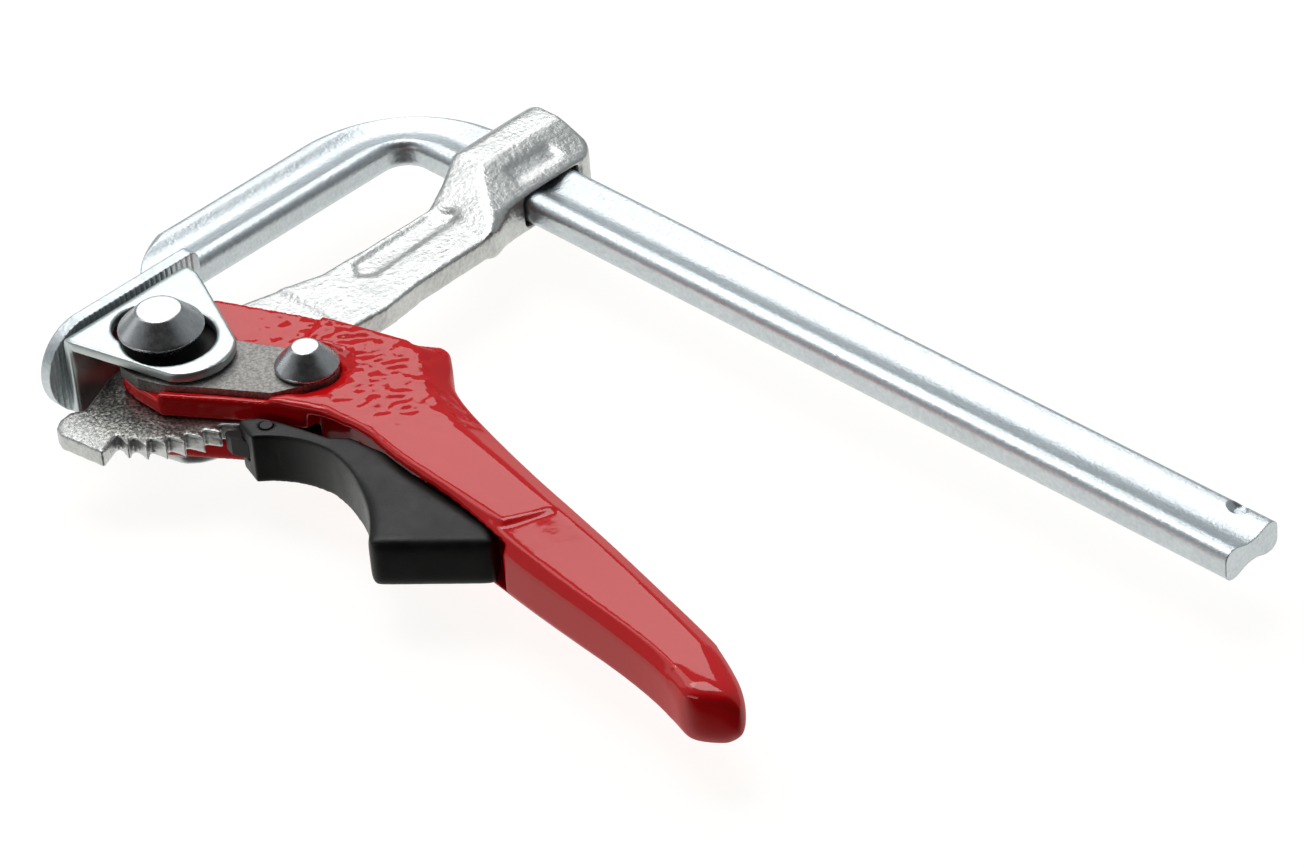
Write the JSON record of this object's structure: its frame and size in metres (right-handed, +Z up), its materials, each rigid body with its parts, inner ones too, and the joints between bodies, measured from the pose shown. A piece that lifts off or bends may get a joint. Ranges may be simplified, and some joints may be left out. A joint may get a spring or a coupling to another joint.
{
  "type": "quick release bar clamp",
  "caption": "Steel bar clamp with a fixed jaw, a sliding arm, a ratcheting cam lever with a release trigger and a pressure pad.",
  "frame": {"origin": "centre of the main pivot rivet's lower flat, on the pivot's axis", "axes": "+X along the bar away from the fixed jaw, +Y from the pivot across to the bar, +Z up through the clamp's thickness along the pivots"},
  "size_m": [0.228, 0.1297, 0.032],
  "materials": {
    "zinc_steel_bar": "bright zinc plated drawn steel",
    "zinc_cast_arm": "bright zinc plated malleable casting with a fine grainy skin",
    "zinc_sheet": "bright zinc plated pressed sheet steel",
    "red_paint": "glossy red enamel on a die casting",
    "cam_steel": "dull bare steel plate",
    "rivet_steel": "smooth turned steel",
    "dark_steel": "blackened hardened steel",
    "black_plastic": "satin black moulded plastic",
    "spring_steel": "drawn spring wire"
  },
  "bodies": {
    "rail": {"fixed_rail": "zinc_steel_bar"},
    "arm": {"sliding_arm": "zinc_cast_arm"},
    "pad": {"pressure_pad": "zinc_sheet"},
    "lever": {"lever_casting": "red_paint", "cam_plate_upper": "cam_steel", "cam_plate_lower": "cam_steel", "main_rivet": "rivet_steel", "pawl_rivet": "rivet_steel", "pawl_bush": "rivet_steel", "trigger_spring": "spring_steel"},
    "trigger": {"trigger_body": "black_plastic", "pawl": "dark_steel", "trigger_pin": "dark_steel"}
  },
  "joints": [
    {"name": "arm_slide", "type": "slide", "parent": "rail", "child": "arm", "axis": [1, 0, 0], "range_m": [0, 0.163]},
    {"name": "lever_hinge", "type": "hinge", "parent": "arm", "child": "lever", "pos_m": [0, 0, 0.016], "axis": [0, 0, 1], "range_deg": [-51.5, 0]},
    {"name": "pad_slide", "type": "slide", "parent": "arm", "child": "pad", "axis": [1, 0, 0], "range_m": [0, 0.0024]},
    {"name": "trigger_hinge", "type": "hinge", "parent": "lever", "child": "trigger", "pos_m": [0.0276, 0.012, 0.016], "axis": [0, 0, 1], "range_deg": [-6.1, 2.5], "deforming": ["trigger_spring"]}
  ],
  "couplings": [
    {"joint": "pad_slide", "follows": "lever_hinge", "m_per_rad": -0.00267}
  ]
}
